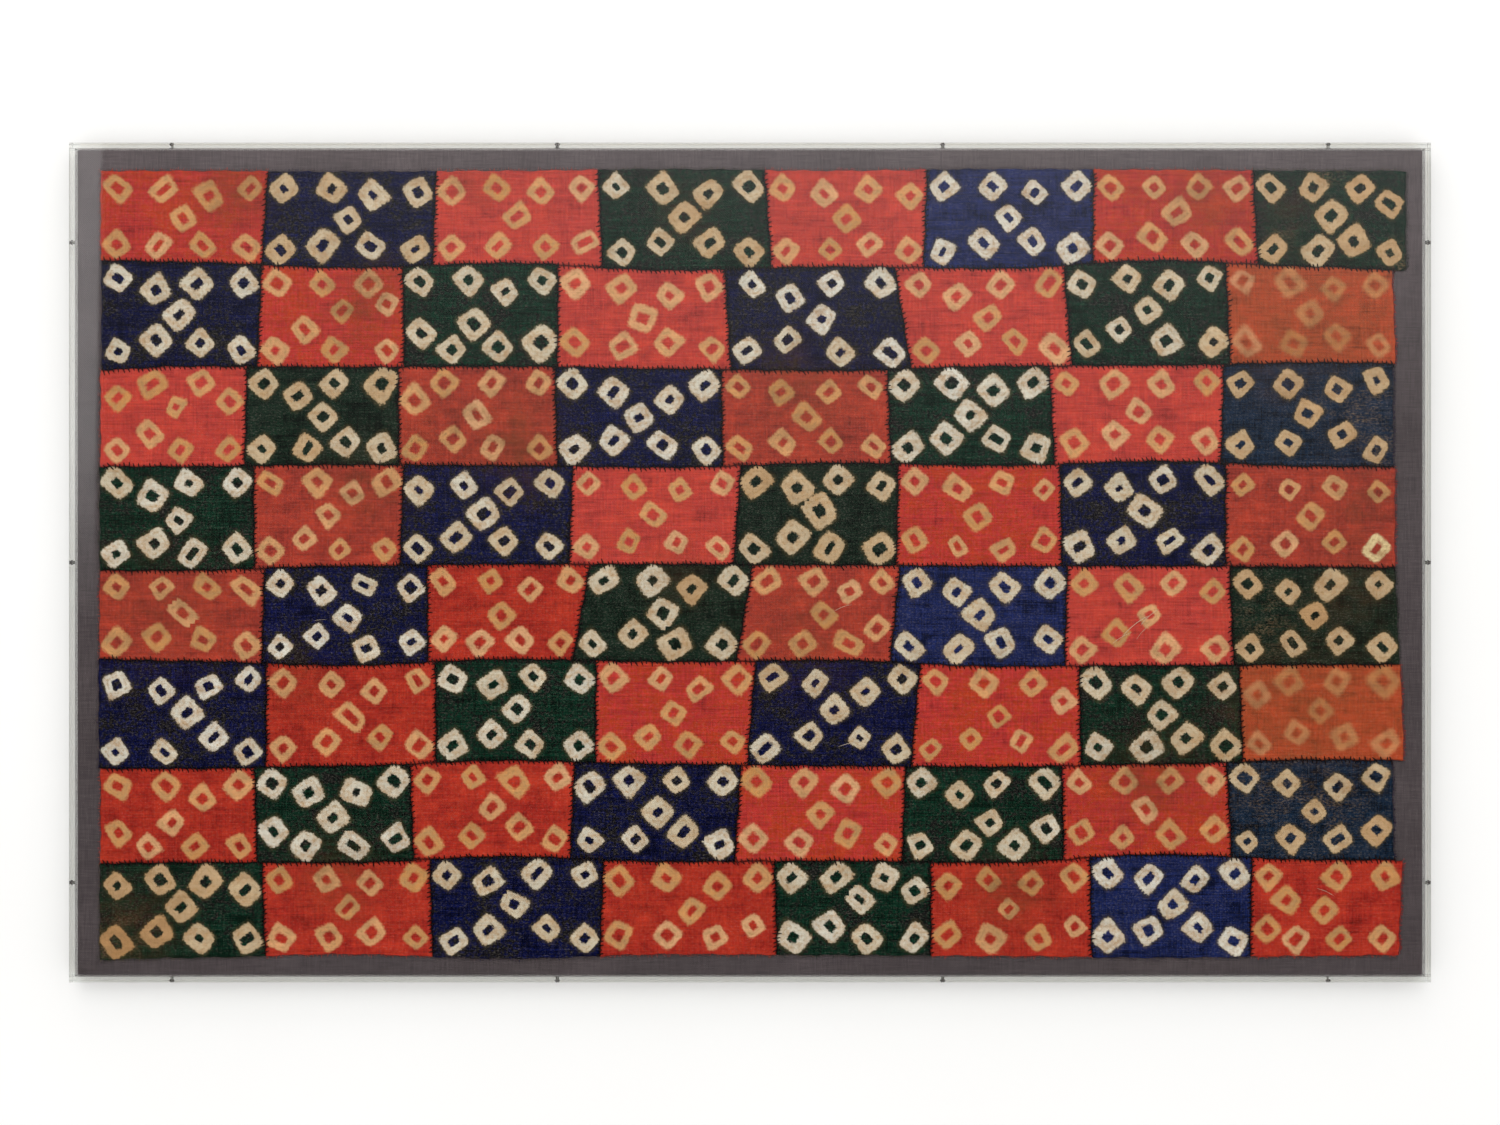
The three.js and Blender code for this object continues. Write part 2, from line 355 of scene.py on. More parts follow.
# Undyed wool, from whitest to most yellowed, and the gold that red leaves in its rings.
ringInks = ["#EBE5D8", "#E0D3BB", "#D4B893", "#C99866"]
redRingInks = ["#EEB284", "#E6A56C", "#D69659"]
ringTones = {
    (1, 2): 0.5, (1, 4): 0.4, (1, 6): 0.05, (1, 8): 0.75, (2, 1): 0.25, (2, 3): 0.35, (2, 5): 0.05,
    (2, 7): 0.4, (3, 2): 0.55, (3, 8): 0.75, (4, 1): 0.15, (4, 3): 0.4, (4, 5): 0.6, (5, 2): 0.1,
    (5, 4): 0.4, (5, 8): 0.65, (6, 1): 0.1, (6, 5): 0.45, (7, 2): 0.15, (7, 8): 0.6, (8, 1): 0.6,
    (8, 7): 0.1,
}
rings = {
    "spots": [(0.11, 0.18), (0.35, 0.24), (0.68, 0.25), (0.888, 0.165), (0.515, 0.485),
              (0.36, 0.745), (0.12, 0.825), (0.675, 0.725), (0.885, 0.825)],
    "mirrored": 0.3,
    "jitter": 5,
    "room": 54,               # how far apart two rings' middles stay, across plus down
    "pushes": 30,
    "fromEdge": 18.5,
    "halfSides": {"navy": 13.3, "green": 14.0, "red": 12.2},
    "sizeJitter": 0.07,
    "aspectJitter": 0.07,
    "angle": 45,
    "angleJitter": 8,
    "lean": 0.13,
    "darkHole": 0.39,
    "redHole": 0.43,
    "holeJitter": 0.04,
    "holeAspectJitter": 0.16,
    "squareness": 4.6,
    "holeAspects": (0.7, 1.4),
    "patchSizes": (0.95, 1.05),
    "plainTones": (0.15, 0.4),    # between the whitest ink and the most yellowed
    "toneJitter": 0.09,
    "tanShift": 0.55,
    "lookDrift": 0.5,             # how far the second tone of a patch that differs goes to its ground
    "darkSoftness": 0.07,
    "redSoftness": 0.14,
    "glintRing": {"row": 4, "patch": 8, "ring": 6, "ink": "#FFE6AE"},   # one ring drawn paler and brighter: a pale gold ring with a painted glint on it
}
# Marks of age: row, place in the row, across, down, radius in millimetres and strength.
marks = {
    "brown": [
        (1, 1, 0.8, 0.22, 36, 0.8), (1, 4, 0.5, 0.45, 30, 0.5), (1, 7, 0.7, 0.35, 42, 0.6),
        (1, 8, 0.22, 0.45, 22, 0.6), (2, 2, 0.68, 0.4, 36, 0.75), (2, 2, 0.86, 0.1, 24, 0.6),
        (2, 5, 0.3, 0.92, 20, 0.5), (2, 8, 0.5, 0.55, 60, 0.5), (3, 3, 0.72, 0.68, 46, 0.8),
        (3, 3, 0.2, 0.6, 30, 0.4), (3, 5, 0.5, 0.25, 60, 0.5), (3, 8, 0.3, 0.15, 30, 0.4),
        (4, 2, 0.75, 0.22, 42, 0.6), (4, 3, 0.72, 0.15, 26, 0.5), (4, 8, 0.8, 0.35, 50, 0.5),
        (5, 1, 0.4, 0.4, 70, 0.4), (5, 4, 0.55, 0.1, 34, 0.5), (5, 5, 0.45, 0.8, 55, 0.5),
        (5, 8, 0.75, 0.25, 40, 0.6), (6, 2, 0.2, 0.15, 34, 0.4), (6, 7, 0.95, 0.4, 28, 0.5),
        (6, 8, 0.45, 0.4, 70, 0.6), (7, 7, 0.55, 0.12, 50, 0.75), (8, 1, 0.2, 0.66, 48, 0.8),
        (8, 2, 0.45, 0.15, 44, 0.7), (8, 6, 0.5, 0.35, 46, 0.7), (1, 3, 0.25, 0.15, 26, 0.5),
    ],
    "tan": [
        (1, 4, 0.75, 0.5, 55, 0.7), (2, 5, 0.42, 0.85, 34, 0.8), (5, 4, 0.62, 0.2, 18, 0.9),
        (6, 7, 0.82, 0.6, 44, 0.8), (7, 4, 0.7, 0.3, 50, 0.5), (7, 6, 0.3, 0.3, 50, 0.6),
        (8, 1, 0.2, 0.6, 60, 0.9), (8, 3, 0.6, 0.6, 18, 0.8),
    ],
    "worn": [
        (1, 8, 0.5, 0.06, 16, 0.9), (1, 8, 0.95, 0.9, 20, 0.9), (1, 8, 0.16, 0.7, 14, 0.8),
        (3, 8, 0.8, 0.42, 34, 0.8), (3, 8, 0.95, 0.85, 20, 0.8), (5, 8, 0.2, 0.55, 44, 0.6),
        (7, 8, 0.25, 0.3, 50, 0.45), (7, 8, 0.6, 0.45, 46, 0.5), (8, 1, 0.08, 0.85, 30, 0.8),
    ],
}
random.seed(1906)


def dyeOf(row, patch):
    # red on every other patch, and blocks of two by two turn between navy and green
    if (row + patch) % 2 == 0:
        return "red"
    return "navy" if (patch // 2 + row // 2) % 2 == 0 else "green"


def lookOf(row, patch):
    return next((look for look in looks.values() if (row + 1, patch + 1) in look["patches"]), {})


def alongRamp(codes, share):
    place = min(max(share, 0), 0.999) * (len(codes) - 1)
    start = int(place)
    return blend(linearColour(codes[start]), linearColour(codes[start + 1]), place - start)


def markAt(kind, x, y):
    total = np.zeros_like(x)
    for row, patch, across, down, radius, strength in marks[kind]:
        spotX, spotY = patchPoint(row - 1, patch - 1, across, down)
        total += strength * np.exp(-((x - spotX) ** 2 + (y - spotY) ** 2) / radius ** 2)
    return np.clip(total, 0, 1)


def ringsOf(row, patch):
    r = rings
    dye = "red" if dyeOf(row, patch) == "red" else "dark"
    width = seamColumns[row]["top"][patch + 1] - seamColumns[row]["top"][patch]
    height = seamLines[row][patch + 1] - seamLines[row + 1][patch + 1]
    tone = ringTones.get((row + 1, patch + 1), random.uniform(*r["plainTones"]))
    patchSize = random.uniform(*r["patchSizes"])
    mirrored = random.random() < r["mirrored"]
    spots = []
    for across, down in r["spots"]:
        shifts = random.gauss(0, r["jitter"]), random.gauss(0, r["jitter"])
        spots.append([(1 - across if mirrored else across) * width + shifts[0], down * height + shifts[1]])
    for _ in range(r["pushes"]):
        for first, second in itertools.combinations(spots, 2):
            gaps = second[0] - first[0], second[1] - first[1]
            apart = abs(gaps[0]) + abs(gaps[1])
            push = max(r["room"] / apart - 1, 0) / 2
            for axis, size in enumerate((width, height)):
                first[axis] = min(max(first[axis] - push * gaps[axis], r["fromEdge"]), size - r["fromEdge"])
                second[axis] = min(max(second[axis] + push * gaps[axis], r["fromEdge"]), size - r["fromEdge"])
    made = []
    for across, down in spots:
        x, y = (float(value) for value in patchPoint(row, patch, across / width, down / height))
        half = r["halfSides"][dyeOf(row, patch)] * patchSize * random.gauss(1, r["sizeJitter"])
        aspect = random.gauss(1, r["aspectJitter"])
        tanned = float(markAt("tan", np.array([x]), np.array([y]))[0])
        ringTone = tone + random.gauss(0, r["toneJitter"]) + r["tanShift"] * tanned
        made.append({
            "x": x, "y": y,
            "angle": math.radians(r["angle"] + random.gauss(0, r["angleJitter"])),
            "half": (half * aspect, half / aspect),
            "lean": (random.uniform(-1, 1) * r["lean"], random.uniform(-1, 1) * r["lean"]),
            "hole": r[dye + "Hole"] + random.gauss(0, r["holeJitter"]),
            "holeAspect": float(np.clip(random.gauss(1, r["holeAspectJitter"]), *r["holeAspects"])),
            "ink": alongRamp(*((redRingInks, random.random()) if dye == "red" else (ringInks, ringTone))),
        })
    # painted highlight: this ring's ink is made brighter for the glint on it
    if (row + 1, patch + 1) == (r["glintRing"]["row"], r["glintRing"]["patch"]):
        made[r["glintRing"]["ring"]]["ink"] = linearColour(r["glintRing"]["ink"])
    return made


def groundOf(row, patch):
    # a patch's colour, its second tone, how soft its rings' edges are and how strongly they show
    name = dyeOf(row, patch)
    look = lookOf(row, patch)
    bright = random.uniform(*patchBrightness)
    second = linearColour(dyes[name]["drift"])
    ground = tuple(bright * c for c in linearColour(dyes[name]["ground"]))
    if look:
        ground = blend(ground, linearColour(look["tone"]), look["share"])
        second = blend(second, ground, rings["lookDrift"])
    soft = look.get("blur", rings["redSoftness" if name == "red" else "darkSoftness"])
    return ground[:3], second[:3], soft, look.get("ringStrength", 1.0)


# Tie-dyed wool: a matt hand-spun plain weave, so it shows uneven threads, mottled dye and soft-edged rings.
wool = {
    "threadPitch": 2.6,      # really about 0.9 mm; drawn coarser, or a render can't show the threads
    "threadWander": 5.0,
    "noises": {              # millimetres across and down, and detail
        "cloud": (44, 38, 2), "mottle": (15, 13, 4), "speck": (4, 4, 3),
        "warpThread": (1.6, 34, 2), "weftThread": (34, 1.6, 2), "weftStreak": (120, 6, 2),
        "ragged": (2.6, 2.6, 2), "lumpy": (10, 10, 1), "bareThread": (3.6, 1.8, 3), "stain": (22, 16, 5),
        "fuzz": (2.4, 1.8, 2),
    },
    "noiseRoughness": 0.55,
    "mixes": {               # two noises, and the share of the second
        "clouded": ("cloud", "mottle", 0.4), "uneven": ("clouded", "speck", 0.42),
        "hairs": ("fuzz", "bareThread", 0.5), "yellow": ("stain", "speck", 0.45),
    },
    "ramps": {               # a noise, the part of it that counts, and what the ends of that part give
        "drifted": ("uneven", (0.43, 0.56), (0.0, 1.0)),
        "hairy": ("hairs", (0.49, 0.72), (0.0, 0.18)),
        "yellowed": ("yellow", (0.42, 0.62), (0.0, 0.75)),
        "broken": ("speck", (0.42, 0.58), (0.0, 1.0)),
        "stained": ("stain", (0.3, 0.65), (0.1, 0.7)),
        "bare": ("bareThread", (0.44, 0.7), (0.0, 0.8)),
        "patchy": ("stain", (0.42, 0.6), (0.0, 1.0)),
    },
    "tones": {"cloud": 0.2, "mottle": 0.2, "speck": 0.13, "warpThread": 0.15, "weftThread": 0.19,
              "weftStreak": 0.1},
    "toneStretch": 5.0,      # a noise stays near its middle, so its swing is stretched
    "darkContrast": 1.4,     # how much more than on red the threads on navy and green differ
    "darkestThread": 0.25,
    "brightness": 0.8,
    "hairColour": "#9A9184",  # pale hairs that stand off the threads
    "ringRagged": 0.36,
    "ringLumpy": 0.2,
    "ringYellow": "#BE9468",
    "ringRim": "#A0804E",
    "rimSpan": (0.85, 1.05),
    "rimShare": 0.3,
    "ringFold": 0.7,         # where the folds of the binding left a brown line, from the middle to the rim
    "ringFoldWidth": 0.07,
    "foldShare": 0.5,
    "ringUneven": 0.4,       # how much of the cloth's unevenness the rings show
    "halo": "#54482C",
    "haloFrom": 0.75,
    "haloReach": 0.28,
    "haloStrength": 0.5,
    "brown": "#6E4426",
    "brownOnDark": 0.5,      # the share of a brown stain that shows on navy and green
    "worn": "#9A7C5C",
    "seamShadow": 0.85,
    "crownPaintedShade": 0.06,
    "crownRelief": 0.5,
    "bumpStrength": 0.35,
    "bumpDepth": 0.35,
}


def tieDyedWool():
    w = wool
    material, add, place = newMaterial("tie-dyed plain-woven wool")
    layers = [add("Attribute", attribute_name=name) for name in ("ground", "drift", "ringInk", "marks")]
    ground, drift, ink, marked = (layer.outputs["Color"] for layer in layers)
    holeAspect, soft, hole, band = (layer.outputs["Alpha"] for layer in layers)
    # seam is the painted shadow drawn along the seams
    brown, worn, seam = add("SeparateColor", [marked]).outputs
    noise = {}
    for name, (across, down, detail) in w["noises"].items():
        scaled = add("Mapping", {"Vector": place, "Scale": (1 / (across * mm), 1 / (down * mm), 1)})
        noise[name] = add("TexNoise", {"Vector": scaled, "Scale": 1.0, "Detail": detail,
                                       "Roughness": w["noiseRoughness"]})
    for name, (first, second, share) in w["mixes"].items():
        noise[name] = add("Mix", {0: share, 2: noise[first], 3: noise[second]})
    ramp = {name: add("MapRange", {"Value": noise[source], fromSpan: span, toSpan: ends})
            for name, (source, span, ends) in w["ramps"].items()}

    # dye that took unevenly, pale hairs, and threads that took it lighter or darker than their neighbours
    onDark = add("MapRange", {"Value": soft, fromSpan: (rings["darkSoftness"], rings["redSoftness"]),
                              toSpan: (1.0, 0.0)})
    dyed = add("Mix", {0: ramp["drifted"], 6: ground, 7: drift}, data_type="RGBA")
    dyed = add("Mix", {0: ramp["hairy"], 6: dyed, 7: w["hairColour"]}, data_type="RGBA")
    shade = 1 - 0.5 * w["toneStretch"] * sum(w["tones"].values())
    for name, amount in w["tones"].items():
        shade = add("Math", [noise[name], w["toneStretch"] * amount, shade], operation="MULTIPLY_ADD")
    contrast = add("Math", [onDark, w["darkContrast"], 1.0], operation="MULTIPLY_ADD")
    fromMean = add("Math", [shade, 1.0], operation="SUBTRACT")
    dyeShade = add("Math", [fromMean, contrast, 1.0], operation="MULTIPLY_ADD")
    dyeShade = add("Math", [dyeShade, w["darkestThread"]], operation="MAXIMUM")
    dyed = add("VectorMath", {0: dyed, 3: dyeShade}, operation="SCALE")

    # how far a point is from its ring's middle, as on a rounded square: 1 on the outline, ragged by the weave
    sides = add("SeparateXYZ", [add("UVMap", uv_map="ringPlace")]).outputs
    holeX = add("Math", [sides["X"], holeAspect], operation="MULTIPLY")
    holeY = add("Math", [sides["Y"], holeAspect], operation="DIVIDE")
    ragged = add("Math", [noise["ragged"], w["ringRagged"], -0.5 * w["ringRagged"]], operation="MULTIPLY_ADD")
    ragged = add("Math", [noise["lumpy"], w["ringLumpy"], ragged], operation="MULTIPLY_ADD")
    ragged = add("Math", [ragged, 0.5 * w["ringLumpy"]], operation="SUBTRACT")
    away = []
    for pair in ((sides["X"], sides["Y"]), (holeX, holeY)):
        powers = []
        for side in pair:
            size = add("Math", [side], operation="ABSOLUTE")
            powers.append(add("Math", [size, rings["squareness"]], operation="POWER"))
        total = add("Math", powers, operation="ADD")
        rounded = add("Math", [total, 1 / rings["squareness"]], operation="POWER")
        away.append(add("Math", [rounded, ragged], operation="ADD"))
    outside, fromHole = away
    for distance, edge, ends in ((outside, 1.0, (1.0, 0.0)), (fromHole, hole, (0.0, 1.0))):
        low = add("Math", [edge, soft], operation="SUBTRACT")
        high = add("Math", [edge, soft], operation="ADD")
        step = add("MapRange", {"Value": distance, fromSpan: (low, high), toSpan: ends},
                   interpolation_type="SMOOTHSTEP")
        band = add("Math", [band, step], operation="MULTIPLY")

    # dye that crept under the binding leaves a dim brown fringe round a ring on dark cloth
    fringe = add("MapRange", {"Value": outside, fromSpan: (1.0, 1 + w["haloReach"]),
                              toSpan: (w["haloStrength"], 0.0)})
    fringe = add("Math", [fringe, onDark], operation="MULTIPLY")
    pastHole = add("Math", [outside, w["haloFrom"]], operation="GREATER_THAN")
    fringe = add("Math", [fringe, pastHole], operation="MULTIPLY")
    dyed = add("Mix", {0: fringe, 6: dyed, 7: w["halo"]}, data_type="RGBA")

    # a ring's undyed wool: yellowed in places, browner at its rim and along the folds of the binding
    inked = add("Mix", {0: ramp["yellowed"], 6: ink, 7: w["ringYellow"]}, data_type="RGBA")
    rim = add("MapRange", {"Value": outside, fromSpan: w["rimSpan"], "To Max": w["rimShare"]})
    rim = add("Math", [rim, onDark], operation="MULTIPLY")
    fromFold = add("Math", [outside, w["ringFold"]], operation="SUBTRACT")
    fromFold = add("Math", [fromFold], operation="ABSOLUTE")
    fold = add("MapRange", {"Value": fromFold, "From Max": w["ringFoldWidth"], toSpan: (w["foldShare"], 0.0)})
    fold = add("Math", [fold, ramp["broken"]], operation="MULTIPLY")
    for share in (rim, fold):
        inked = add("Mix", {0: share, 6: inked, 7: w["ringRim"]}, data_type="RGBA")
    inkShade = add("Math", [shade, w["ringUneven"], 1 - w["ringUneven"]], operation="MULTIPLY_ADD")
    inked = add("VectorMath", {0: inked, 3: inkShade}, operation="SCALE")
    colour = add("Mix", {0: band, 6: dyed, 7: inked}, data_type="RGBA")

    # age: brown stains and threads worn bare; then the painted shadow that darkens the cloth along the seams
    stain = add("Math", [ramp["stained"], brown], operation="MULTIPLY")
    shows = add("Math", [onDark, w["brownOnDark"] - 1, 1.0], operation="MULTIPLY_ADD")
    stain = add("Math", [stain, shows], operation="MULTIPLY")
    bare = add("Math", [ramp["bare"], ramp["patchy"]], operation="MULTIPLY")
    bare = add("Math", [bare, worn], operation="MULTIPLY")
    for share, tint in ((stain, w["brown"]), (bare, w["worn"])):
        colour = add("Mix", {0: share, 6: colour, 7: tint}, data_type="RGBA")
    shadow = add("Math", [seam, -w["seamShadow"], 1.0], operation="MULTIPLY_ADD")
    colour = add("VectorMath", {0: colour, 3: shadow}, operation="SCALE")

    # the crowns of a plain weave, from two crossing waves that the uneven threads push about
    axes = add("SeparateXYZ", [place]).outputs
    waves = []
    for axis, strand in (("X", "warpThread"), ("Y", "weftThread")):
        wander = add("Math", [noise[strand], w["threadWander"]], operation="MULTIPLY")
        turned = add("Math", [axes[axis], 2 * math.pi / (w["threadPitch"] * mm), wander],
                     operation="MULTIPLY_ADD")
        waves.append(add("Math", [turned], operation="SINE"))
    crowns = add("Math", waves, operation="MULTIPLY")
    # painted shade: the colour is drawn lighter on the thread crowns and darker in the hollows between them
    crownPaintedShade = add("Math", [crowns, w["crownPaintedShade"], w["brightness"]], operation="MULTIPLY_ADD")
    colour = add("VectorMath", {0: colour, 3: crownPaintedShade}, operation="SCALE")
    relief = add("Math", [crowns, w["crownRelief"], shade], operation="MULTIPLY_ADD")
    bump = add("Bump", {"Height": relief, "Strength": w["bumpStrength"], "Distance": w["bumpDepth"] * mm})
    shader = add("BsdfPrincipled", {
        "Base Color": colour, "Roughness": 0.95, "Specular IOR Level": 0.06, "Normal": bump,
        "Sheen Weight": 0.02, "Sheen Roughness": 0.5})
    add("OutputMaterial", {"Surface": shader})
    return material


def makeRow(row, material):
    c = cloth
    name = f"patchRow{row + 1}"
    bm = bmesh.new()
    for patch in range(patchCount):
        bmesh.ops.create_grid(bm, x_segments=c["cellsAcross"], y_segments=c["cellsDown"], size=0.5,
                              matrix=Matrix.Translation((2 * patch + 0.5, 0.5, 0)))
    mesh = meshFrom(bm, name)

    # each vertex's patch, and its share across and down it, crowded towards the seams
    co = np.empty(len(mesh.vertices) * 3)
    mesh.vertices.foreach_get("co", co)
    co = co.reshape(-1, 3)
    guard = 0.01      # rounding can leave a vertex a hair left of its patch
    patchOf = np.floor(co[:, 0] / 2 + guard).astype(int)
    across = np.clip(co[:, 0] - 2 * patchOf, 0, 1)
    down = np.clip(1 - co[:, 1], 0, 1)
    crowd = c["edgeCrowding"] / (2 * math.pi)
    across = across - crowd * np.sin(2 * math.pi * across)
    down = down - crowd * np.sin(2 * math.pi * down)
    x, y = np.empty(len(co)), np.empty(len(co))
    for patch in range(patchCount):
        here = patchOf == patch
        x[here], y[here] = patchPoint(row, patch, across[here], down[here])

    # relief: the cloth's soft waves, the sunk seam with its turned edge, and puckers that the stitches pull
    table = seamColumns[row]
    widths = np.diff(table["top"]).astype(float)[patchOf]
    height = float(np.mean(seamLines[row]) - np.mean(seamLines[row + 1]))
    # the cloth's own edges have no seam
    fromSide = np.minimum(np.where(patchOf > 0, across * widths, np.inf),
                          np.where(patchOf < patchCount - 1, (1 - across) * widths, np.inf))
    fromEnd = np.minimum(down * height if row > 0 else np.inf,
                         (1 - down) * height if row < rowCount - 1 else np.inf)
    fromSeam = np.minimum(fromSide, fromEnd)
    alongSeam = np.where(fromSide < fromEnd, down * height, across * widths)
    z = clothTop(x, y)
    z -= c["seamDip"] * np.exp(-(fromSeam / c["seamDipWidth"]) ** 2)
    z += c["rollHeight"] * np.exp(-((fromSeam - c["rollFromSeam"]) / c["rollWidth"]) ** 2)
    ripple = np.sin(2 * math.pi * alongSeam / c["puckerPitch"])
    z += c["pucker"] * ripple * np.exp(-fromSeam / c["puckerReach"])
    mesh.vertices.foreach_set("co", (np.stack([x, y, z], 1) * mm).ravel())

    # each face belongs to its nearest ring, and its corners know their place in that ring
    corner = np.empty(len(mesh.loops), int)
    mesh.loops.foreach_get("vertex_index", corner)
    cornerX, cornerY, cornerPatch = x[corner], y[corner], patchOf[corner]
    faceX, faceY = cornerX.reshape(-1, 4).mean(1), cornerY.reshape(-1, 4).mean(1)
    facePatch = cornerPatch.reshape(-1, 4)[:, 0]
    ringPlace = np.zeros((len(corner), 2))
    ground, drift, ringInk = (np.zeros((len(corner), 4)) for _ in range(3))
    ringStrength = np.ones(len(x))
    for patch in range(patchCount):
        found = ringsOf(row, patch)
        colour, second, soft, strength = groundOf(row, patch)
        ringStrength[patchOf == patch] = strength
        inPatch = facePatch == patch
        away = [np.hypot(faceX - ring["x"], faceY - ring["y"]) / ring["half"][0] for ring in found]
        nearest = np.argmin(away, axis=0)
        drift[np.repeat(inPatch, 4)] = (*second, soft)
        for k, ring in enumerate(found):
            here = np.repeat(inPatch & (nearest == k), 4)
            dx, dy = cornerX[here] - ring["x"], cornerY[here] - ring["y"]
            cosine, sine = math.cos(ring["angle"]), math.sin(ring["angle"])
            a = (cosine * dx + sine * dy) / ring["half"][0]
            b = (cosine * dy - sine * dx) / ring["half"][1]
            ringPlace[here, 0] = a * (1 + ring["lean"][0] * b)
            ringPlace[here, 1] = b * (1 + ring["lean"][1] * a)
            ringInk[here] = (*ring["ink"][:3], ring["hole"])
            ground[here] = (*colour, ring["holeAspect"])

    # painted shadow: a dark line drawn along each seam, where shade falls in the sunk seam
    seamShade = np.exp(-(fromSeam / c["seamShadeWidth"]) ** 2)
    ageAndSeamShade = np.stack([markAt("brown", x, y), markAt("worn", x, y), seamShade, ringStrength], 1)
    for label, domain, values in (("ground", "CORNER", ground), ("drift", "CORNER", drift),
                                  ("ringInk", "CORNER", ringInk), ("marks", "POINT", ageAndSeamShade)):
        layer = mesh.color_attributes.new(label, "FLOAT_COLOR", domain)
        layer.data.foreach_set("color", values.ravel())
    # in the baked picture the patches lie in two columns and four rows
    gutter = 0.01
    u = (cornerPatch % 2 + gutter + (1 - 2 * gutter) * across[corner]) / 2
    v = (cornerPatch // 2 + gutter + (1 - 2 * gutter) * (1 - down[corner])) / 4
    mesh.uv_layers.new(name="OFBake").uv.foreach_set("vector", np.stack([u, v], 1).ravel())
    mesh.uv_layers.new(name="ringPlace").uv.foreach_set("vector", ringPlace.ravel())
    mesh.shade_smooth()

    piece = showPiece(name, mesh, material, "patchwork_cloth")
    thick = piece.modifiers.new("thickness", "SOLIDIFY")
    thick.thickness = c["thickness"] * mm
    thick.offset = -1
    return piece


woolMaterial = tieDyedWool()
patchRows = [makeRow(row, woolMaterial) for row in range(rowCount)]
print("patchwork made:", sum(len(row.data.polygons) for row in patchRows), "faces")


# Sewing thread: handspun wool, dull, a little hairy, darker than the cloth.
thread = {
    "strand": 1.2,
    "strandSpan": (0.35, 0.7),
    "strandShare": 0.3,
    "strandColour": "#46302A",
    "bumpStrength": 0.4,
    "bumpDepth": 0.2,
}


def sewingThread():
    material, add, place = newMaterial("handspun wool thread")
    tone = add("Attribute", attribute_name="thread")
    twist = add("TexNoise", {"Vector": place, "Scale": 1 / (thread["strand"] * mm), "Detail": 2.0})
    share = add("MapRange", {"Value": twist, fromSpan: thread["strandSpan"],
                             "To Max": thread["strandShare"]})
    colour = add("Mix", {0: share, 6: tone.outputs["Color"], 7: thread["strandColour"]}, data_type="RGBA")
    bump = add("Bump", {"Height": twist, "Strength": thread["bumpStrength"],
                        "Distance": thread["bumpDepth"] * mm})
    shader = add("BsdfPrincipled", {"Base Color": colour, "Roughness": 0.9, "Specular IOR Level": 0.1,
                                    "Normal": bump})
    add("OutputMaterial", {"Surface": shader})
    return material


threadMaterial = sewingThread()


def threadLength(length, radius, sides, cuts, taper, arch, bend=0.0):
    # a length of thread along X: its ends drawn thin, its middle raised by arch and pushed aside by bend
    bm = bmesh.new()
    bmesh.ops.create_cone(bm, cap_ends=True, segments=sides, radius1=radius, radius2=radius, depth=length,
                          matrix=Matrix.Rotation(math.pi / 2, 4, "Y"))
    for cut in range(1, cuts + 1):
        bmesh.ops.bisect_plane(bm, geom=bm.verts[:] + bm.edges[:] + bm.faces[:],
                               plane_co=(length * (cut / (cuts + 1) - 0.5), 0, 0), plane_no=(1, 0, 0))
    for vertex in bm.verts:
        out = 2 * abs(vertex.co.x) / length
        thin = 1 - taper * out ** 3
        vertex.co.y = vertex.co.y * thin + bend * (1 - out ** 2)
        vertex.co.z = vertex.co.z * thin + arch * (1 - out ** 2)
    return meshFrom(bm, "threadLength")


def joinCopies(name, template, stamps):
    # one mesh with a copy of the template for each stamp: its place in millimetres, and its colour
    bm = bmesh.new()
    template.color_attributes.new("thread", "FLOAT_COLOR", "POINT")
    for place, colour in stamps:
        single = template.copy()
        single.transform(Matrix.Scale(mm, 4) @ place)
        single.color_attributes["thread"].data.foreach_set("color", list(colour) * len(single.vertices))
        bm.from_mesh(single)
        bpy.data.meshes.remove(single)
    bpy.data.meshes.remove(template)
    mesh = meshFrom(bm, name)
    mesh.shade_smooth()
    return mesh


def clothHeight(x, y):
    return float(clothTop(np.array([x]), np.array([y]))[0])


# Whip stitches over every seam: short bent bars of thread, slanting across it.
stitches = {
    "pitch": 5.4,
    "pitchJitter": 0.14,
    "length": 7.6,
    "lengthJitter": 0.2,
    "radius": 0.74,
    "taper": 0.3,
    "lift": 0.1,             # how high its ends stand over the cloth's middle height
    "arch": 0.5,
    "slant": 20,
    "slantJitter": 9,
    "red": "#4C1014",
    "dark": "#0B090E",
    "brown": "#1E100F",
    "brownShare": 0.7,
    "uprightWalk": (0.01, 0.99, 60),    # where it starts and ends down a patch, and its points
    "levelStep": 2.0,
}


def stitchesAlong(points, dyesAt):
    # walks a seam's points and sets a slanting stitch at each pitch
    s = stitches
    stamps = []
    walked, due = 0.0, random.uniform(0, s["pitch"])
    for (ax, ay), (bx, by) in zip(points, points[1:]):
        step = math.hypot(bx - ax, by - ay)
        while due < walked + step:
            share = (due - walked) / step
            x, y = ax + share * (bx - ax), ay + share * (by - ay)
            turn = math.atan2(by - ay, bx - ax) + math.pi / 2
            turn += math.radians(random.gauss(s["slant"], s["slantJitter"]))
            place = (Matrix.Translation((x, y, clothHeight(x, y) + s["lift"]))
                     @ Matrix.Rotation(turn, 4, "Z")
                     @ Matrix.Diagonal((random.gauss(1, s["lengthJitter"]), 1, 1, 1)))
            dyed = linearColour(s["red" if dyesAt(x) == {"red"} else "dark"])
            brown = linearColour(s["brown"])
            stamps.append((place, blend(dyed, brown, s["brownShare"] * random.random())))
            due += s["pitch"] * random.gauss(1, s["pitchJitter"])
        walked += step
    return stamps


